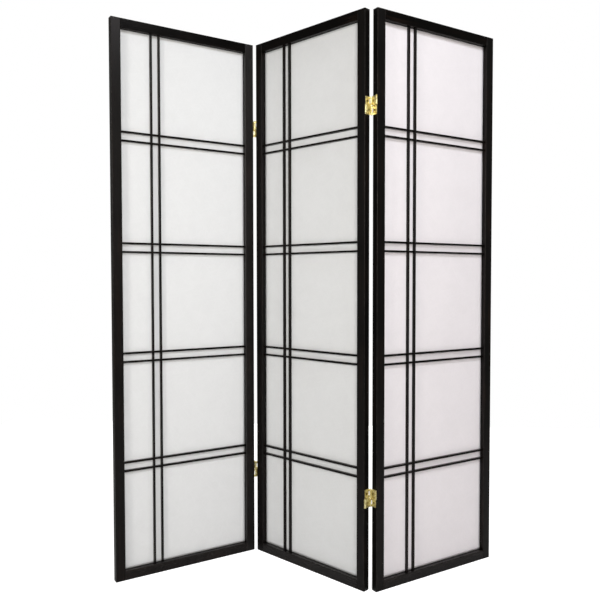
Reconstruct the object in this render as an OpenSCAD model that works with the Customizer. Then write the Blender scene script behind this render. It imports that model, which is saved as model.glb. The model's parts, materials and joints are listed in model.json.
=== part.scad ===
// Folding lattice screen: three panels joined by two-way hinges. Each panel is a
// wooden frame that holds thin crossing bars in front of a sheet of pale paper.
// A panel's own frame: x from its left edge, y from its front face, z from its foot.

/* [Panels] */
// Height of a panel
panel_h = 1486; // [1200:1:1900]
// Width of a panel
panel_w = 412.75; // [340:0.25:520]
// Thickness of the frame from front to back
frame_t = 19.05; // [18:0.05:26]
// Face width of a stile, the upright at each side of a panel
stile_w = 25.4; // [22:0.1:40]
// Face height of the top and bottom rails
rail_h = 25.4; // [20:0.1:60]
// Radius of the frame's eased edges
edge_r = 1.2; // [0.5:0.1:2]

/* [Lattice] */
// Face width of a lattice bar
bar_w = 5; // [3:0.1:8]
// Depth of a lattice bar from front to back
bar_d = 7.7; // [5:0.1:8]
// Distance from the frame's front to the bars' front
bar_setback = 5.7; // [3:0.1:6]
// Radius of the bars' eased front edges
bar_edge_r = 0.5; // [0.2:0.1:1]
// Clear width between the left stile and the first upright bar
side_pane_w = 81.4; // [40:0.1:140]
// Clear width between the two upright bars
upright_gap = 17.1; // [8:0.1:40]
// Clear height between the two bars of a cross pair
cross_gap = 18.1; // [8:0.1:40]
// Number of cross pairs on a panel
cross_pairs = 4; // [2:1:4]

/* [Paper] */
// Thickness of the paper sheet
paper_t = 0.4; // [0.2:0.1:1]
// Gap between the paper's edges and the frame
paper_inset = 0.5; // [0.2:0.1:2]
// Width of the strips that hold the paper in from behind
stop_w = 6; // [4:0.5:10]
// Distance from the strips' backs to the frame's back
stop_inset = 0.5; // [0:0.1:1]

/* [Joinery] */
// Length of a rail's tenon
tenon_l = 14; // [8:0.5:18]
// Thickness of a rail's tenon
tenon_t = 6.5; // [4:0.1:8]
// Shoulder above and below a rail's tenon
tenon_shoulder = 4; // [2:0.5:7]
// Depth of the housings that take the bars' ends
housing_d = 5; // [3:0.5:6]
// Clearance round tenons, housed ends and half-lap joints
joint_clear = 0.1; // [0.05:0.05:0.2]

/* [Hinges] */
// Angle by which each fold is turned from straight
fold_angle = 76.5; // [0:0.5:170]
// Distance from a panel's top to the middle of its upper hinges
hinge_from_top = 242; // [100:1:400]
// Distance from a panel's foot to the middle of its lower hinges
hinge_from_foot = 242; // [100:1:400]
// Height of a hinge
hinge_h = 46; // [38:1:70]
// Thickness of the sheet metal of leaves and links
sheet_t = 1.2; // [1:0.1:1.5]
// Radius of a hinge pin
pin_r = 1.5; // [1.2:0.1:2]
// Distance of the pins' axes beyond the panels' front and back faces
pin_proud = 1.2; // [1:0.1:2]
// Length of a leaf's knuckle
leaf_knuckle_l = 6; // [4:0.5:7]
// Gap between neighbouring knuckles and round a link
knuckle_gap = 0.3; // [0.2:0.05:0.5]
// Gap between a knuckle and the leaf opposite when a fold is straight
leaf_gap = 0.3; // [0.2:0.05:1]
// Radial clearance of a pin in its link
pin_clear = 0.05; // [0.02:0.01:0.1]
// Radius of the hole in a link through which its screws are driven
access_r = 3.4; // [3:0.1:5]
// Distance from a panel's front and back faces to the edges of a leaf's plate
leaf_inset = 2; // [1:0.1:4]
// Radius of the plates' rounded corners
leaf_corner_r = 1.5; // [0.5:0.1:3]

/* [Screws] */
// Length of a hinge screw
screw_l = 15; // [10:0.5:16]
// Radius of a screw's shank
shank_r = 1.4; // [1:0.1:1.6]
// Radius of a screw's countersunk head
head_r = 2.8; // [2.2:0.1:2.9]
// Length of a screw's point
point_l = 3; // [2:0.5:4]
// Width of the cross recess in a screw's head
recess_w = 0.8; // [0.5:0.1:1]
// Clearance of a screw in its hole
screw_clear = 0.05; // [0.02:0.01:0.1]

/* [Hidden] */
$fn = 48;
PANELS = ["left", "centre", "right"];
FOLDS = ["left", "right"];
LEVELS = ["upper", "lower"];
FRAME_PARTS = ["stile_left", "stile_right", "rail_top", "rail_bottom"];
SHEET_PARTS = ["paper", "back_stops"];
BRASS_PARTS = ["hinge_pins", "hinge_screws"];
HINGE_PARTS = ["leaf_left", "leaf_right", "link_upper", "link_lower"];

// Colours
LACQUER = [0.09, 0.08, 0.075];
PAPER = [0.92, 0.91, 0.9];
BRASS = [0.8, 0.64, 0.28];

// Lattice: the panes are equal, and the pairs of bars lie between them
pair_h = 2 * bar_w + cross_gap;
pane_h = (panel_h - 2 * rail_h - cross_pairs * pair_h) / (cross_pairs + 1);
upright_x = [for (k = [0, 1]) stile_w + side_pane_w + k * (bar_w + upright_gap)];
paper_y = bar_setback + bar_d;
stop_y = paper_y + paper_t;
stop_d = frame_t - stop_inset - stop_y;

// Hinge: a leaf has bent tabs, which roll round the pins as knuckles
knuckle_r = pin_r + sheet_t;
pin_offset = knuckle_r + sheet_t + leaf_gap;
tab_y = pin_r - pin_proud;
half_l = (hinge_h - knuckle_gap) / 2;
link_knuckle_l = half_l - 2 * (leaf_knuckle_l + knuckle_gap);
screw_z = knuckle_gap / 2 + half_l / 2;
hinge_z = [panel_h - hinge_from_top, hinge_from_foot];

// Pose: the left fold turns on its front pins, the right fold on its back pins
turn = [fold_angle / 2, -fold_angle / 2, fold_angle / 2];
front_left_pin = [-pin_offset, -pin_proud];
front_right_pin = [panel_w + pin_offset, -pin_proud];
back_left_pin = [-pin_offset, frame_t + pin_proud];
back_right_pin = [panel_w + pin_offset, frame_t + pin_proud];
unshifted = [
    turned(1, front_left_pin) - turned(0, front_right_pin),
    [0, 0],
    turned(1, back_right_pin) - turned(2, back_left_pin)
];

// Outline of all panels and knuckles in plan, as discs of centre and radius
discs = [for (i = [0 : 2], d = concat(corner_discs(), knuckle_discs(i)))
    concat(unshifted[i] + turned(i, [d.x, d.y]), d.z)];
low = [for (a = [0, 1]) min([for (d = discs) d[a] - d.z])];
high = [for (a = [0, 1]) max([for (d = discs) d[a] + d.z])];
origin = [for (u = unshifted) u - (low + high) / 2];

function panel_node(panel, part) = str(panel, "_panel_", part);
function hinge_node(fold, level, part) = str(fold, "_fold_", level, "_hinge_", part);
function turned(i, p) = [p.x * cos(turn[i]) - p.y * sin(turn[i]), p.x * sin(turn[i]) + p.y * cos(turn[i])];
function corner_discs() = [for (x = [edge_r, panel_w - edge_r], y = [edge_r, frame_t - edge_r]) [x, y, edge_r]];
function knuckle_discs(i) = [for (p = concat(
    i > 0 ? [front_left_pin, back_left_pin] : [],
    i < 2 ? [front_right_pin, back_right_pin] : [])) [p.x, p.y, knuckle_r]];
function cross_z(pair, bar) = rail_h + pair * pane_h + (pair - 1) * pair_h + bar * (bar_w + cross_gap);

// Puts children given in a panel's own frame in their place
module on_panel(i) {
    translate([origin[i].x, origin[i].y, 0]) rotate([0, 0, turn[i]]) children();
}

// Puts children given for a left edge, with x inwards from the edge, on either edge
module on_edge(side) {
    if (side == "left") {
        children();
    } else {
        translate([panel_w, 0, 0]) mirror([1, 0, 0]) children();
    }
}

// Puts children given for the front face on either face
module on_face(face) {
    if (face == "front") {
        children();
    } else {
        translate([0, frame_t, 0]) mirror([0, 1, 0]) children();
    }
}

// Puts children given for a hinge's upper half in either half
module in_half(half) {
    if (half == "upper") {
        children();
    } else {
        mirror([0, 0, 1]) children();
    }
}

// Rectangle with rounded corners
module eased_rect(size, r) {
    translate([r, 0]) square([size.x - 2 * r, size.y]);
    translate([0, r]) square([size.x, size.y - 2 * r]);
    for (x = [r, size.x - r], y = [r, size.y - r]) translate([x, y]) circle(r);
}

// Block with every edge eased
module eased_block(size, r) {
    intersection() {
        linear_extrude(size.z) eased_rect([size.x, size.y], r);
        translate([0, size.y, 0]) rotate([90, 0, 0]) linear_extrude(size.y) eased_rect([size.x, size.z], r);
        rotate([90, 0, 90]) linear_extrude(size.x) eased_rect([size.y, size.z], r);
    }
}

// Section of a lattice bar, with its two front edges eased
module bar_section() {
    intersection() {
        eased_rect([bar_w, bar_d + bar_edge_r], bar_edge_r);
        square([bar_w, bar_d]);
    }
}

// Housing for a bar's end: room for the section, sunk along z
module upright_housing() {
    translate([-joint_clear, -joint_clear, -housing_d - joint_clear])
        cube([bar_w + 2 * joint_clear, bar_d + 2 * joint_clear, housing_d + joint_clear + 1]);
}

// Housing for a cross bar's end, sunk into a left stile
module cross_housing() {
    translate([stile_w - housing_d - joint_clear, bar_setback - joint_clear, -joint_clear])
        cube([housing_d + joint_clear + 1, bar_d + 2 * joint_clear, bar_w + 2 * joint_clear]);
}

// Tenon of the bottom rail's left end, or with a clearance its mortise
module tenon(clear) {
    translate([stile_w - tenon_l - clear, (frame_t - tenon_t) / 2 - clear, tenon_shoulder - clear])
        cube([tenon_l + clear + 1, tenon_t + 2 * clear, rail_h - 2 * tenon_shoulder + 2 * clear]);
}

// Left stile, or with on_edge the right one
module stile(hinged) {
    color(LACQUER) difference() {
        eased_block([stile_w, frame_t, panel_h], edge_r);
        tenon(joint_clear);
        translate([0, 0, panel_h]) mirror([0, 0, 1]) tenon(joint_clear);
        for (pair = [1 : cross_pairs], bar = [0, 1]) translate([0, 0, cross_z(pair, bar)]) cross_housing();
        if (hinged) {
            for (z = hinge_z, side = [-1, 1]) translate([0, 0, z + side * screw_z]) screw_form(screw_clear);
        }
    }
}

// Bottom rail with its two tenons and the housings for the upright bars
module rail() {
    color(LACQUER) difference() {
        union() {
            translate([stile_w, 0, 0]) eased_block([panel_w - 2 * stile_w, frame_t, rail_h], edge_r);
            for (side = ["left", "right"]) on_edge(side) tenon(0);
        }
        for (x = upright_x) translate([x, bar_setback, rail_h]) upright_housing();
    }
}

// Upright bar, notched behind where the cross bars pass
module upright_bar(k) {
    notch_y = bar_setback + bar_d / 2 - joint_clear / 2;
    color(LACQUER) difference() {
        translate([upright_x[k], bar_setback, rail_h - housing_d])
            linear_extrude(panel_h - 2 * (rail_h - housing_d)) bar_section();
        for (pair = [1 : cross_pairs], bar = [0, 1])
            translate([upright_x[k] - 1, notch_y, cross_z(pair, bar) - joint_clear])
                cube([bar_w + 2, bar_d, bar_w + 2 * joint_clear]);
    }
}

// Pair of cross bars, notched in front where the upright bars pass
module cross_bars(pair) {
    notch_y = bar_setback + bar_d / 2 + joint_clear / 2;
    color(LACQUER) for (bar = [0, 1]) difference() {
        translate([stile_w - housing_d, bar_setback, cross_z(pair, bar) + bar_w])
            rotate([0, 90, 0]) linear_extrude(panel_w - 2 * (stile_w - housing_d)) bar_section();
        for (x = upright_x)
            translate([x - joint_clear, notch_y - bar_d, cross_z(pair, bar) - 1])
                cube([bar_w + 2 * joint_clear, bar_d, bar_w + 2]);
    }
}

// Paper sheet, glued to the backs of the bars
module paper() {
    inset = [stile_w + paper_inset, rail_h + paper_inset];
    color(PAPER) translate([inset.x, paper_y, inset.y])
        cube([panel_w - 2 * inset.x, paper_t, panel_h - 2 * inset.y]);
}

// Four strips that hold the paper in from behind
module back_stops() {
    end_x = stile_w + stop_w + joint_clear;
    color(LACQUER) {
        for (side = ["left", "right"]) on_edge(side)
            translate([stile_w, stop_y, rail_h]) cube([stop_w, stop_d, panel_h - 2 * rail_h]);
        for (z = [rail_h, panel_h - rail_h - stop_w]) translate([end_x, stop_y, z])
            cube([panel_w - 2 * end_x, stop_d, stop_w]);
    }
}

// Countersunk screw along +x through a leaf on a left edge, or with growth its hole
module screw_form(grow) {
    head_l = head_r - shank_r;
    translate([-sheet_t, frame_t / 2, 0]) rotate([0, 90, 0]) {
        if (grow > 0) {
            translate([0, 0, -1]) cylinder(r = head_r + grow, h = 1);
        }
        cylinder(r1 = head_r + grow, r2 = shank_r + grow, h = head_l);
        translate([0, 0, head_l]) cylinder(r = shank_r + grow, h = screw_l - head_l - point_l + grow);
        translate([0, 0, screw_l - point_l + grow]) cylinder(r1 = shank_r + grow, r2 = shank_r / 4, h = point_l);
    }
}

// Two screws of a leaf, each with a cross recess in its head
module leaf_screws() {
    for (side = [-1, 1]) translate([0, 0, side * screw_z]) difference() {
        screw_form(0);
        for (a = [45, 135]) translate([-sheet_t, frame_t / 2, 0]) rotate([a, 0, 0])
            cube([2 * recess_w, recess_w, 1.1 * head_r], center = true);
    }
}

// Stands children on the pin axis at the front of a left edge, at the start of a half
module on_pin() {
    translate([-pin_offset, -pin_proud, knuckle_gap / 2]) children();
}

// Knuckle of a leaf with the bent tab that it is rolled from, which runs on into the plate
module leaf_knuckle() {
    tab_w = pin_proud + leaf_inset + leaf_corner_r - pin_r;
    cylinder(r = knuckle_r, h = leaf_knuckle_l);
    translate([0, pin_r, 0]) cube([pin_offset, sheet_t, leaf_knuckle_l]);
    translate([pin_offset - sheet_t, pin_r, 0]) cube([sheet_t, tab_w, leaf_knuckle_l]);
}

// Leaf on a left edge; its front knuckles are in the named half, its back ones in the other
module leaf(front_half) {
    color(BRASS) difference() {
        union() {
            translate([-sheet_t, leaf_inset, -hinge_h / 2]) rotate([90, 0, 90]) linear_extrude(sheet_t)
                eased_rect([frame_t - 2 * leaf_inset, hinge_h], leaf_corner_r);
            leaf_pins(front_half) for (z = [0, half_l - leaf_knuckle_l]) translate([0, 0, z]) leaf_knuckle();
        }
        leaf_pins(front_half) translate([0, 0, -1]) cylinder(r = pin_r, h = half_l + 2);
        for (side = [-1, 1]) translate([0, 0, side * screw_z]) screw_form(screw_clear);
    }
}

// Puts children on both pin axes of a leaf
module leaf_pins(front_half) {
    back_half = front_half == "upper" ? "lower" : "upper";
    in_half(front_half) on_pin() children();
    on_face("back") in_half(back_half) on_pin() children();
}

// Link on the pins of one half, beside a left edge
module link(half) {
    plate_y = tab_y + sheet_t + knuckle_gap;
    color(BRASS) in_half(half) difference() {
        union() {
            translate([-pin_offset - sheet_t / 2, plate_y, knuckle_gap / 2])
                cube([sheet_t, frame_t - 2 * plate_y, half_l]);
            for (face = ["front", "back"]) on_face(face) link_half();
        }
        for (face = ["front", "back"]) on_face(face) on_pin() translate([0, 0, -1])
            cylinder(r = pin_r + pin_clear, h = half_l + 2);
        translate([-pin_offset, frame_t / 2, screw_z]) rotate([0, 90, 0])
            cylinder(r = access_r, h = 2 * sheet_t, center = true);
    }
}

// Knuckle of a link and the tongue that carries it
module link_half() {
    on_pin() translate([0, 0, leaf_knuckle_l + knuckle_gap]) {
        cylinder(r = knuckle_r, h = link_knuckle_l);
        translate([-sheet_t / 2, 0, 0]) cube([sheet_t, frame_t / 2, link_knuckle_l]);
    }
}

// Edges of a panel that carry hinges, each with the half that has its front knuckles
function hinged_edges(i) = concat(i > 0 ? [["left", "upper"]] : [], i < 2 ? [["right", "lower"]] : []);
module at_hinges(i) {
    for (edge = hinged_edges(i), z = hinge_z) {
        $front_half = edge[1];
        on_edge(edge[0]) translate([0, 0, z]) children();
    }
}

// Pins of all the leaves on a panel
module hinge_pins(i) {
    color(BRASS) at_hinges(i) leaf_pins($front_half) cylinder(r = pin_r, h = half_l);
}

// Screws of all the leaves on a panel
module hinge_screws(i) {
    color(BRASS) at_hinges(i) leaf_screws();
}

for (i = [0 : 2]) on_panel(i) {
    stile(i > 0);
    on_edge("right") stile(i < 2);
    rail();
    translate([0, 0, panel_h]) mirror([0, 0, 1]) rail();
    paper();
    back_stops();
    hinge_pins(i);
    hinge_screws(i);
    for (k = [1, 2]) {
        upright_bar(k - 1);
    }
    for (k = [1 : cross_pairs]) {
        cross_bars(k);
    }
}

// Each fold f joins panel f to panel f + 1. The left fold's lower links lie with the centre
// panel and its upper links with the left one; the right fold's upper links lie with the right
// panel and its lower links with the centre one.
for (f = [0, 1], level = [0, 1]) {
    name = [for (part = HINGE_PARTS) hinge_node(FOLDS[f], LEVELS[level], part)];
    up = [0, 0, hinge_z[level]];
    on_panel(f) on_edge("right") translate(up) leaf("lower");
    on_panel(f + 1) on_edge("left") translate(up) leaf("upper");
    on_panel(2 * f) on_edge(f == 0 ? "right" : "left") translate(up) link("upper");
    on_panel(1) on_edge(f == 0 ? "left" : "right") translate(up) link("lower");
}
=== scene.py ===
"""Looks of a folding lattice screen: black lacquered frames, pale fibre paper and brass hinges.

A panel has its own space here: x runs along its width from the middle, y backwards from the
middle of its thickness, and z up from its foot. All lengths are in metres.
"""
import json
import math

import bpy
from mathutils import Matrix, Vector, noise


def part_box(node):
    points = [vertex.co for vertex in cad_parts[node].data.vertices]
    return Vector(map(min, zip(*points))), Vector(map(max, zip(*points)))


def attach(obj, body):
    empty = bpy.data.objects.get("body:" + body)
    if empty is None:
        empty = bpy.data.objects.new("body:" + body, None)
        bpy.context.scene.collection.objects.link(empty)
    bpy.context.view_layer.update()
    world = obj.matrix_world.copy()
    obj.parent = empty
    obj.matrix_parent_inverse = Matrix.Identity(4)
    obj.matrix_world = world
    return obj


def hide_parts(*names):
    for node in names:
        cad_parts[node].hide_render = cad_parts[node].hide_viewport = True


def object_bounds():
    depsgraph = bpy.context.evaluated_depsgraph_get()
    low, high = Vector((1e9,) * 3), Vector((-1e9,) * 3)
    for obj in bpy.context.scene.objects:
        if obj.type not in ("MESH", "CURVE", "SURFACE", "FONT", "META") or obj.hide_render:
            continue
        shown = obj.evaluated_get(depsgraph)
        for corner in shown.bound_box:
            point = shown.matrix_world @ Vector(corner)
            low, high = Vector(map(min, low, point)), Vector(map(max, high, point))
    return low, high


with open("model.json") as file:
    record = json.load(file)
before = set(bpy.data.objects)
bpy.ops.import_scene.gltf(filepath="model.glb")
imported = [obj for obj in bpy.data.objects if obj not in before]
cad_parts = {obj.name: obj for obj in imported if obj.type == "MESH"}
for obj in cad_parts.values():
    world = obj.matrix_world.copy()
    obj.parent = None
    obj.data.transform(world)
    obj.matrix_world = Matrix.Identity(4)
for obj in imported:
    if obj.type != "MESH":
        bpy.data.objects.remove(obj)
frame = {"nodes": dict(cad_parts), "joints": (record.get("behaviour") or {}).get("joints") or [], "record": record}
cad_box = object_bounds()

PANELS = ("left", "centre", "right")
TURN_SIGN = {"left": 1, "centre": -1, "right": 1}

# The fold runs from straight, at its lower limit, through rest; half of it turns each panel
HALF_FOLD = -math.radians(frame["joints"][0]["range_deg"][0]) / 2
FEET = {m["name"]: Vector(m["pos_m"]) for m in frame["record"]["mounts"]}


def panel_turn(panel):
    """Angle about Z by which a panel is turned from the row's X axis."""
    return TURN_SIGN[panel] * HALF_FOLD


def panel_space(panel):
    """Matrix from a panel's own space to the row frame."""
    return Matrix.Translation(FEET[f"foot_{panel}"]) @ Matrix.Rotation(panel_turn(panel), 4, "Z")


def corners(points):
    """Lowest and highest corner of the box round some points."""
    return [Vector([end(p[axis] for p in points) for axis in range(3)]) for end in (min, max)]


def local_box(node, panel):
    """Lowest and highest corner of a CAD node, in a panel's own space."""
    inverse = panel_space(panel).inverted()
    return corners([inverse @ v.co for v in frame["nodes"][node].data.vertices])


def new_piece(name, points, faces):
    """A smooth shaded mesh object from points and faces."""
    mesh = bpy.data.meshes.new(name)
    mesh.from_pydata(points, [], faces)
    mesh.shade_smooth()
    obj = bpy.data.objects.new(name, mesh)
    bpy.context.collection.objects.link(obj)
    return obj


# ---------------------------------------------------------------- materials

def put(tree, kind, inputs=None, **settings):
    """Adds a shader node with its settings and inputs, each input a value or another node's socket."""
    made = tree.nodes.new("ShaderNode" + kind)
    for name, value in settings.items():
        setattr(made, name, value)
    for name, value in (inputs or {}).items():
        if isinstance(value, bpy.types.NodeSocket):
            tree.links.new(value, made.inputs[name])
        else:
            made.inputs[name].default_value = value
    return made


def new_material(name):
    """An empty node material and its tree, with the shader and the output in place."""
    material = bpy.data.materials.new(name)
    material.use_nodes = True
    tree = material.node_tree
    tree.nodes.clear()
    shader = put(tree, "BsdfPrincipled")
    output = put(tree, "OutputMaterial", {"Surface": shader.outputs["BSDF"]})
    return material, tree, shader, output


def maths(tree, operation, a, b=0.0):
    """The result of a Math node."""
    return put(tree, "Math", {0: a, 1: b}, operation=operation).outputs[0]


def ramp(tree, factor, low, high, to_low=0.0, to_high=1.0):
    """Factor taken smoothly from the range low to high into another range."""
    made = put(tree, "MapRange", {"Value": factor, "From Min": low, "From Max": high,
                                  "To Min": to_low, "To Max": to_high},
               interpolation_type="SMOOTHSTEP")
    return made.outputs["Result"]


MIX_COLOURS = (6, 7)    # a Mix node's two colour inputs
MIX_RESULT = 2          # its colour output


def mixed(tree, factor, *colours):
    """Colour between two colours, each a colour or a socket."""
    made = put(tree, "Mix", {"Factor": factor}, data_type="RGBA")
    for place, colour in zip(MIX_COLOURS, colours):
        if isinstance(colour, bpy.types.NodeSocket):
            tree.links.new(colour, made.inputs[place])
        else:
            made.inputs[place].default_value = (*colour, 1)
    return made.outputs[MIX_RESULT]


def clouds(tree, vector, fineness, detail, roughness=0.5, distortion=0.0):
    """A noise pattern from 0 to 1."""
    made = put(tree, "TexNoise", {"Vector": vector, "Scale": fineness, "Detail": detail,
                                  "Roughness": roughness, "Distortion": distortion})
    return made.outputs["Fac"]


def turned_coordinates(tree, output, turn, stretch=(1, 1, 1), shift=(0, 0, 0)):
    """A piece's own coordinates turned into the panel's directions, then stretched and shifted."""
    source = put(tree, "TexCoord").outputs[output]
    level = put(tree, "Mapping", {"Vector": source, "Rotation": (0, 0, -turn)}, vector_type="POINT")
    return put(tree, "Mapping", {"Vector": level.outputs[0], "Scale": stretch, "Location": shift},
               vector_type="POINT").outputs[0]


EDGE_FACING = (0.06, 0.36)    # slant at which an edge begins, and at which it is all edge


def eased_edges(tree, turn):
    """1 along a block's eased edges, which face between two of the panel's directions."""
    normal = turned_coordinates(tree, "Normal", turn)
    parts = put(tree, "SeparateXYZ", {"Vector": normal}).outputs
    size = [maths(tree, "ABSOLUTE", parts[i]) for i in range(3)]
    pairs = [maths(tree, "MULTIPLY", size[i], size[j]) for i, j in ((0, 1), (1, 2), (0, 2))]
    total = maths(tree, "ADD", maths(tree, "ADD", pairs[0], pairs[1]), pairs[2])
    return ramp(tree, total, *EDGE_FACING)


GRAIN_ALONG = 0.05    # fineness of the grain along it, as a share of that across it
LACQUER_DARK = (0.0020, 0.0018, 0.0016)
LACQUER_BROWN = (0.0090, 0.0050, 0.0035)
# Lighter colour along the eased edges: partly rubbed wear, partly a painted highlight standing in for the light
# those rounded edges catch
LACQUER_WORN_AND_HIGHLIT = (0.0260, 0.0230, 0.0210)
LACQUER_TINT = (1.0, 0.90, 0.88, 1.0)    # of its reflections
LACQUER_RELIEF = 0.00035    # depth of its pores and figure
LACQUER_ROUGHER = (0.08, 0.06, 0.15)    # roughness added by pores, by patches and by wear

# Fineness of each pattern, roughly in waves to the metre
PORES = 900
FIGURE = 140
PATCHES = 7
RUBBING = 160


def lacquer(name, turn, along, seed, rough, uneven, shine):
    """Black lacquer on wood whose grain runs along one of the panel's directions, 0 for x and 2 for z.

    It has a lowest roughness, an unevenness, which spreads its reflections, and a shine.
    """
    material, tree, shader, _ = new_material(name)
    stretch = [GRAIN_ALONG if axis == along else 1.0 for axis in range(3)]
    grain_space = turned_coordinates(tree, "Object", turn, stretch, (seed, 2 * seed, 3 * seed))
    plain_space = turned_coordinates(tree, "Object", turn, (1, 1, 1), (seed, seed, seed))
    pores = clouds(tree, grain_space, PORES, 3, 0.6)
    figure = clouds(tree, grain_space, FIGURE, 4, 0.55, 0.4)
    patches = clouds(tree, plain_space, PATCHES, 3, 0.5)
    rubbed = clouds(tree, plain_space, RUBBING, 4, 0.65)
    edges = eased_edges(tree, turn)

    brown = maths(tree, "MULTIPLY", ramp(tree, figure, 0.42, 0.72), ramp(tree, patches, 0.35, 0.7))
    body = mixed(tree, brown, LACQUER_DARK, LACQUER_BROWN)
    # The eased edges take the lighter colour where the rubbing noise allows: partly wear, partly a painted edge
    # highlight
    worn_and_highlit = maths(tree, "MULTIPLY", edges, ramp(tree, rubbed, 0.46, 0.66, 0.1, 0.75))
    tree.links.new(mixed(tree, worn_and_highlit, body, LACQUER_WORN_AND_HIGHLIT), shader.inputs["Base Color"])

    by_pores, by_patches, by_wear = LACQUER_ROUGHER
    satin = maths(tree, "ADD", ramp(tree, pores, 0.3, 0.7, rough, rough + by_pores),
                  ramp(tree, patches, 0.3, 0.7, 0, by_patches))
    dulled = maths(tree, "ADD", satin, maths(tree, "MULTIPLY", worn_and_highlit, by_wear))
    tree.links.new(dulled, shader.inputs["Roughness"])
    shader.inputs["Specular IOR Level"].default_value = shine
    shader.inputs["Specular Tint"].default_value = LACQUER_TINT
    relief = maths(tree, "ADD", maths(tree, "MULTIPLY", pores, 0.5), figure)
    bump = put(tree, "Bump", {"Strength": uneven, "Distance": LACQUER_RELIEF, "Height": relief})
    tree.links.new(bump.outputs[0], shader.inputs["Normal"])
    return material


# Paper colour of each panel; the right panel's is lighter than the others partly as painted light, standing in for
# the stronger light that falls on that panel
PAPER_TINT_AND_PAINTED_LIGHT = {
    "left": (0.810, 0.802, 0.804),
    "centre": (0.810, 0.810, 0.815),
    "right": (0.868, 0.819, 0.837),
}
PAPER_SHADE = 0.90    # its darker clouds, as a share of the tint
PAPER_THREAD = 1.07    # its fibres, likewise
PAPER_LIGHT_THROUGH = 0.2
PAPER_ROUGHNESS = 0.82
PAPER_SHINE = 0.25
PAPER_RELIEF = 0.0003    # depth of its fibres and pulp

# Fineness of its clouds and pulp, roughly in waves to the metre, and each way of its fibres with theirs
MOTTLE = 22
PULP = 320
FIBRES = ((0.3, 90), (1.25, 120), (2.2, 70))
FIBRE_ALONG = 0.12    # fineness along a fibre, as a share of that across it
FIBRE_WIDTH = 0.035    # share of a wave that a fibre takes


def fibres(tree, vector, angle, fineness):
    """Fine fibres: thin ridges of a noise drawn out along one direction of the sheet."""
    turned = put(tree, "Mapping", {"Vector": vector, "Rotation": (0, angle, 0)}, vector_type="POINT")
    drawn = put(tree, "Mapping", {"Vector": turned.outputs[0], "Scale": (FIBRE_ALONG, 1, 1)},
                vector_type="POINT")
    swirl = clouds(tree, drawn.outputs[0], fineness, 2, 0.5, 0.6)
    ridge = maths(tree, "ABSOLUTE", maths(tree, "SUBTRACT", swirl, 0.5))
    return ramp(tree, ridge, 0.0, FIBRE_WIDTH, 1.0, 0.0)


def paper_finish(name, panel, seed):
    """Pale fibre paper that lets some light through."""
    material, tree, shader, output = new_material(name)
    shift = (seed, 2 * seed, 3 * seed)
    sheet_space = turned_coordinates(tree, "Object", panel_turn(panel), (1, 1, 1), shift)
    mottle = clouds(tree, sheet_space, MOTTLE, 5, 0.6)
    pulp = clouds(tree, sheet_space, PULP, 4, 0.6)
    strands = [fibres(tree, sheet_space, angle, fineness) for angle, fineness in FIBRES]
    thread = maths(tree, "MAXIMUM", maths(tree, "MAXIMUM", strands[0], strands[1]), strands[2])

    # for the right panel this tint also carries painted light
    tint = PAPER_TINT_AND_PAINTED_LIGHT[panel]
    shade = tuple(PAPER_SHADE * c for c in tint)
    light = tuple(min(1, PAPER_THREAD * c) for c in tint)
    cloudy = mixed(tree, ramp(tree, mottle, 0.3, 0.7, 0, 0.2), tint, shade)
    base = mixed(tree, maths(tree, "MULTIPLY", thread, 0.22), cloudy, light)
    tree.links.new(base, shader.inputs["Base Color"])
    shader.inputs["Roughness"].default_value = PAPER_ROUGHNESS
    shader.inputs["Specular IOR Level"].default_value = PAPER_SHINE

    relief = maths(tree, "ADD", maths(tree, "MULTIPLY", thread, 0.5), maths(tree, "MULTIPLY", pulp, 0.6))
    bump = put(tree, "Bump", {"Strength": 0.35, "Distance": PAPER_RELIEF, "Height": relief})
    tree.links.new(bump.outputs[0], shader.inputs["Normal"])
    through = put(tree, "BsdfTranslucent", {"Color": base, "Normal": bump.outputs[0]})
    both = put(tree, "MixShader", {0: PAPER_LIGHT_THROUGH, 1: shader.outputs["BSDF"],
                                   2: through.outputs["BSDF"]})
    tree.links.new(both.outputs[0], output.inputs["Surface"])
    return material


BRASS_BRIGHT = (0.88, 0.80, 0.45)
BRASS_DULL = (0.48, 0.37, 0.12)
# Dark brass of the screw heads: painted shade standing in for the shadow in their recesses
BRASS_SCREW_PAINTED_SHADE = (0.24, 0.17, 0.06)
BRASS_STAIN = (0.10, 0.068, 0.022)
BRASS_RELIEF = 0.0008    # depth of its dents and scratches

# Fineness of each pattern, roughly in waves to the metre
DENTS = 300
STAINS = 130
SCRATCHES = 1500


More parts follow.
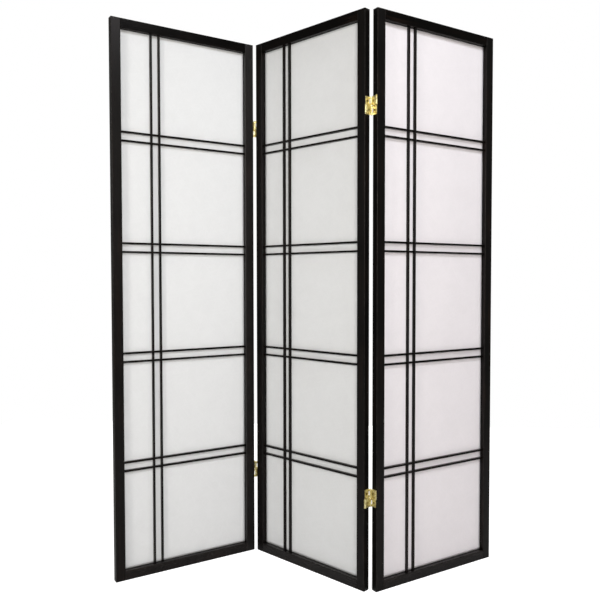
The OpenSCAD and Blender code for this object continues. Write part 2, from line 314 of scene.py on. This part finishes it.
def brass(name, seed, beaten, bright, stained, tint=BRASS_DULL):
    """Brass plating with patches of a darker tint and dents.

    bright is its lightest colour, stained the noise level from which it is all tint, and beaten
    the dents' share of their full depth.
    """
    material, tree, shader, _ = new_material(name)
    space = turned_coordinates(tree, "Object", 0, (1, 1, 1), (seed, seed, seed))
    dents = put(tree, "TexVoronoi", {"Vector": space, "Scale": DENTS, "Randomness": 1.0},
                feature="SMOOTH_F1").outputs["Distance"]
    stains = clouds(tree, space, STAINS, 4, 0.6)
    scratches = clouds(tree, space, SCRATCHES, 2, 0.5)

    dull = ramp(tree, stains, stained - 0.25, stained)
    hollow = maths(tree, "MULTIPLY", ramp(tree, dents, 0.05, 0.35, 0.55, 0), beaten)
    shaded = mixed(tree, hollow, mixed(tree, dull, bright, tint), BRASS_STAIN)
    tree.links.new(shaded, shader.inputs["Base Color"])
    shader.inputs["Metallic"].default_value = 1.0
    rough = maths(tree, "ADD", ramp(tree, scratches, 0.3, 0.7, 0.34, 0.46),
                  maths(tree, "MULTIPLY", dull, 0.12))
    tree.links.new(rough, shader.inputs["Roughness"])

    relief = maths(tree, "ADD", maths(tree, "MULTIPLY", dents, beaten),
                   maths(tree, "MULTIPLY", scratches, 0.05))
    bump = put(tree, "Bump", {"Strength": 0.6, "Distance": BRASS_RELIEF, "Height": relief})
    tree.links.new(bump.outputs[0], shader.inputs["Normal"])
    return material


def dress(obj, material):
    """Gives a piece one material in all its slots."""
    obj.data.materials.clear()
    obj.data.materials.append(material)


CROSS_BARS = ("cross_bars_1", "cross_bars_2", "cross_bars_3", "cross_bars_4")
UPRIGHT_BARS = ("upright_bar_1", "upright_bar_2")

# Parts, the direction of their grain (0 for x, 2 for z), and their lacquer's roughness, unevenness and shine
WOOD = {
    "upright": (("stile_left", "stile_right", *UPRIGHT_BARS), 2, 0.29, 0.45, 0.16),
    "level": ((*CROSS_BARS, "back_stops"), 0, 0.20, 0.20, 0.12),
    "top": (("rail_top",), 0, 0.15, 0.10, 0.07),
    "foot": (("rail_bottom",), 0, 0.20, 0.20, 0.25),
}
GLOSSIER = {"left_panel_stile_right": 1.9}    # a stile's own shine, in shares of its group's
WOOD_SEED = 0.37


def dress_wood():
    """Lacquer on every wooden CAD node, with the grain along the piece."""
    for number, panel in enumerate(PANELS):
        turn = panel_turn(panel)
        for word, (parts, along, rough, uneven, shine) in WOOD.items():
            seed = WOOD_SEED + number + along / 2
            shared = lacquer(f"lacquer_{panel}_{word}", turn, along, seed, rough, uneven, shine)
            for part in parts:
                node = f"{panel}_panel_{part}"
                finish = shared
                if node in GLOSSIER:
                    own_shine = GLOSSIER[node] * shine
                    finish = lacquer(f"lacquer_{node}", turn, along, seed, rough, uneven, own_shine)
                dress(frame["nodes"][node], finish)


def dress_brass():
    """Brass on every metal CAD node: beaten sheet, and smoother pins and screws, the screws darkened as painted
    shade.

    Returns the pins' material.
    """
    sheet = brass("brass_sheet", seed=0.21, beaten=1.0, bright=BRASS_BRIGHT, stained=0.66)
    pin = brass("brass_pin", seed=0.77, beaten=0.15, bright=BRASS_BRIGHT, stained=0.75)
    # The screws' dark colour is painted shade for their recesses
    screw = brass("brass_screw", seed=0.53, beaten=0.15, bright=BRASS_SCREW_PAINTED_SHADE, stained=0.60, tint=BRASS_STAIN)
    for node, obj in frame["nodes"].items():
        if "_hinge_leaf" in node or "_hinge_link" in node:
            dress(obj, sheet)
        elif node.endswith("hinge_pins"):
            dress(obj, pin)
        elif node.endswith("hinge_screws"):
            dress(obj, screw)
    return pin


# ---------------------------------------------------------------- pin heads

HEAD_WIDER = 1.35      # radius of a peened head, in radii of its pin
HEAD_HIGH = 0.40       # its height, in the same
HEAD_SIDES = 24

# Outline of a head from inside the knuckle to its tip, in shares of its radius and height
HEAD_CURVE = ((1.0, -0.1), (1.0, 0.25), (0.9, 0.52), (0.68, 0.78), (0.4, 0.93), (0.1, 1.0))


def shells(mesh):
    """The points of each separate shell of a mesh."""
    root = list(range(len(mesh.vertices)))

    def find(i):
        while root[i] != i:
            root[i] = root[root[i]]
            i = root[i]
        return i

    for edge in mesh.edges:
        root[find(edge.vertices[0])] = find(edge.vertices[1])
    groups = {}
    for v in mesh.vertices:
        groups.setdefault(find(v.index), []).append(v.co)
    return groups.values()


def head_points(pin, hinge_middles):
    """Rings of points of the head on the end of a pin that is farther from its hinge's middle."""
    low, high = corners(pin)
    middle, radius = (low + high) / 2, (high.x - low.x) / 2
    up = 1 if middle.z > min(hinge_middles, key=lambda z: abs(z - middle.z)) else -1
    end = high.z if up > 0 else low.z
    points = []
    for wide, tall in HEAD_CURVE:
        reach = wide * HEAD_WIDER * radius
        for side in range(HEAD_SIDES):
            turn = 2 * math.pi * side / HEAD_SIDES
            points.append((middle.x + reach * math.cos(turn), middle.y + up * reach * math.sin(turn),
                           end + up * tall * HEAD_HIGH * radius))
    return points


def head_faces(first):
    """Faces of a head whose points begin at a number: its rings, its foot and its tip."""
    rings = [[first + ring * HEAD_SIDES + side for side in range(HEAD_SIDES)]
             for ring in range(len(HEAD_CURVE))]
    faces = []
    for lower, upper in zip(rings, rings[1:]):
        for side in range(HEAD_SIDES):
            after = (side + 1) % HEAD_SIDES
            faces.append((lower[side], lower[after], upper[after], upper[side]))
    return faces + [tuple(reversed(rings[0])), tuple(rings[-1])]


def pin_heads(panel, finish):
    """Peened heads on the outer ends of a panel's hinge pins, each a low dome with a closed foot."""
    hinge_middles = [sum(c.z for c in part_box(f"left_fold_{level}_hinge_leaf_left")) / 2
                     for level in ("upper", "lower")]
    points, faces = [], []
    for pin in shells(frame["nodes"][f"{panel}_panel_hinge_pins"].data):
        faces += head_faces(len(points))
        points += head_points(pin, hinge_middles)
    heads = new_piece(f"{panel}_pin_heads", points, faces)
    dress(heads, finish)
    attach(heads, f"panel_{panel}")


# ---------------------------------------------------------------- paper

PAPER_STEP = 0.006     # spacing of the sheet's mesh
PAPER_HOLD = 0.035     # distance from a glued line over which the sheet is still held flat
PAPER_WAVE = 0.0006    # how far a free stretch bellies backwards
WAVE_LENGTH = 0.085    # size of its slack waves
THICKEN_BACKWARDS = -1    # offset that keeps a solidified sheet's front where it is
PAPER_SEEDS = {"left": 3.1, "centre": 10.8, "right": 18.5}


def smooth(t):
    """Smooth step from 0 to 1."""
    t = min(1.0, max(0.0, t))
    return t * t * (3 - 2 * t)


def distance_outside(value, spans):
    """Distance from the nearest of some spans, 0 inside one."""
    return min(max(low - value, value - high, 0.0) for low, high in spans)


def paper_sheet(panel):
    """The paper of a panel: one closed thin sheet, glued flat to the bars and slack between them."""
    node = f"{panel}_panel_paper"
    seed = PAPER_SEEDS[panel]
    low, high = local_box(node, panel)
    bars_x = [local_box(f"{panel}_panel_{bar}", panel) for bar in UPRIGHT_BARS]
    bars_z = [local_box(f"{panel}_panel_{bars}", panel) for bars in CROSS_BARS]
    held_x = [(b[0].x, b[1].x) for b in bars_x] + [(-math.inf, low.x), (high.x, math.inf)]
    held_z = [(b[0].z, b[1].z) for b in bars_z] + [(-math.inf, low.z), (high.z, math.inf)]
    across = round((high.x - low.x) / PAPER_STEP)
    upward = round((high.z - low.z) / PAPER_STEP)
    space = panel_space(panel)
    points = []
    for row in range(upward + 1):
        z = low.z + (high.z - low.z) * row / upward
        free_z = smooth(distance_outside(z, held_z) / PAPER_HOLD)
        for column in range(across + 1):
            x = low.x + (high.x - low.x) * column / across
            free = free_z * smooth(distance_outside(x, held_x) / PAPER_HOLD)
            wave = 0.5 + 0.5 * noise.noise(Vector((x / WAVE_LENGTH, seed, z / WAVE_LENGTH)))
            points.append(space @ Vector((x, low.y + PAPER_WAVE * free * wave, z)))
    width = across + 1
    faces = [(r * width + c, r * width + c + 1, (r + 1) * width + c + 1, (r + 1) * width + c)
             for r in range(upward) for c in range(across)]
    sheet = new_piece(f"{panel}_paper_sheet", points, faces)
    thick = sheet.modifiers.new("thickness", "SOLIDIFY")
    thick.thickness = high.y - low.y
    thick.offset = THICKEN_BACKWARDS
    dress(sheet, paper_finish(f"paper_{panel}", panel, seed))
    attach(sheet, f"panel_{panel}")
    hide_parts(node)


# ---------------------------------------------------------------- studio

CAMERA_AT = (0.2017, -1.8945, 0.8050)
CAMERA_YAW = math.radians(4.733)      # to the left of the row's +Y
CAMERA_PITCH = math.radians(1.953)    # below the horizon
CAMERA_SENSOR = 36                    # mm
CAMERA_LENS = 41.54                   # mm
CAMERA_SHIFT = (-0.0420, 0.0050)      # in widths of the sensor
CAMERA_CLIP = (0.05, 60)


def camera():
    """The camera at the viewing angle of the real screen's picture."""
    data = bpy.data.cameras.new("camera")
    data.sensor_width = CAMERA_SENSOR
    data.lens = CAMERA_LENS
    data.shift_x, data.shift_y = CAMERA_SHIFT
    data.clip_start, data.clip_end = CAMERA_CLIP
    obj = bpy.data.objects.new("camera", data)
    obj.location = CAMERA_AT
    obj.rotation_euler = (math.pi / 2 - CAMERA_PITCH, 0, CAMERA_YAW)
    bpy.context.collection.objects.link(obj)
    bpy.context.scene.camera = obj


FLOOR_REACH = 1.9    # from the middle to each side
FLOOR_BELOW = 0.0003    # clearance under the feet
FLOOR_TONES = ((0.72, 0.72, 0.72), (0.76, 0.76, 0.76))
FLOOR_CLOUDS = 3
FLOOR_ROUGHNESS = 0.9
FLOOR_GLOW = 0.99    # so that it meets the white ground without an edge; it lights nothing


def floor():
    """A plain pale floor, just under the feet."""
    mesh = bpy.data.meshes.new("floor")
    level = cad_box[0].z - FLOOR_BELOW
    square = ((-1, -1), (1, -1), (1, 1), (-1, 1))
    mesh.from_pydata([(x * FLOOR_REACH, y * FLOOR_REACH, level) for x, y in square], [], [(0, 1, 2, 3)])
    obj = bpy.data.objects.new("floor", mesh)
    bpy.context.collection.objects.link(obj)
    material, tree, shader, _ = new_material("floor")
    space = put(tree, "TexCoord").outputs["Object"]
    tone = mixed(tree, clouds(tree, space, FLOOR_CLOUDS, 3), *FLOOR_TONES)
    tree.links.new(tone, shader.inputs["Base Color"])
    tree.links.new(tone, shader.inputs["Emission Color"])
    seen = put(tree, "LightPath").outputs["Is Camera Ray"]
    tree.links.new(maths(tree, "MULTIPLY", seen, FLOOR_GLOW), shader.inputs["Emission Strength"])
    shader.inputs["Roughness"].default_value = FLOOR_ROUGHNESS
    dress(obj, material)


COOL = (0.89, 0.95, 1.00)
WARM = (1.00, 0.985, 0.945)
PLAIN = (1.00, 1.00, 1.00)

# Place, side, watts and colour of each softbox, and the share of the screen's height that it aims at:
# a high one to the right, two low ones in front, and a large one behind
SOFTBOXES = {
    "key": ((1.32, -1.32, 2.74), 0.40, 32, COOL, -0.6),
    "fill": ((-1.26, -1.98, 1.38), 0.45, 20, WARM, 0.5),
    "front": ((0.62, -2.08, 1.28), 0.55, 23.5, WARM, 0.5),
    "back": ((0.00, 2.60, 1.20), 2.00, 44, PLAIN, 0.5),
}


def softbox(name, at, side, watts, colour, aim):
    """A square lamp aimed at a share of the screen's height."""
    data = bpy.data.lights.new(name, "AREA")
    data.shape = "SQUARE"
    data.size = side
    data.energy = watts
    data.color = colour
    obj = bpy.data.objects.new(name, data)
    obj.location = at
    away = Vector(at) - Vector((0, 0, aim * cad_box[1].z))
    obj.rotation_euler = away.to_track_quat("Z", "Y").to_euler()
    obj.visible_camera = False
    bpy.context.collection.objects.link(obj)


AMBIENT = 0.215
AMBIENT_COLOUR = (1, 0.99, 0.955, 1)
GROUND_COLOUR = (1, 1, 1, 1)


def surroundings():
    """Soft even light from all round, with a white ground behind the screen."""
    world = bpy.data.worlds.new("studio")
    bpy.context.scene.world = world
    world.use_nodes = True
    tree = world.node_tree
    tree.nodes.clear()
    dim = put(tree, "Background", {"Color": AMBIENT_COLOUR, "Strength": AMBIENT})
    white = put(tree, "Background", {"Color": GROUND_COLOUR, "Strength": 1.0})
    seen = put(tree, "LightPath").outputs["Is Camera Ray"]
    both = put(tree, "MixShader", {0: seen, 1: dim.outputs[0], 2: white.outputs[0]})
    put(tree, "OutputWorld", {"Surface": both.outputs[0]})
    bpy.context.scene.view_settings.view_transform = "Standard"
    for name, settings in SOFTBOXES.items():
        softbox(name, *settings)


camera()
surroundings()
floor()
dress_wood()
pin_finish = dress_brass()
for panel in PANELS:
    paper_sheet(panel)
    pin_heads(panel, pin_finish)
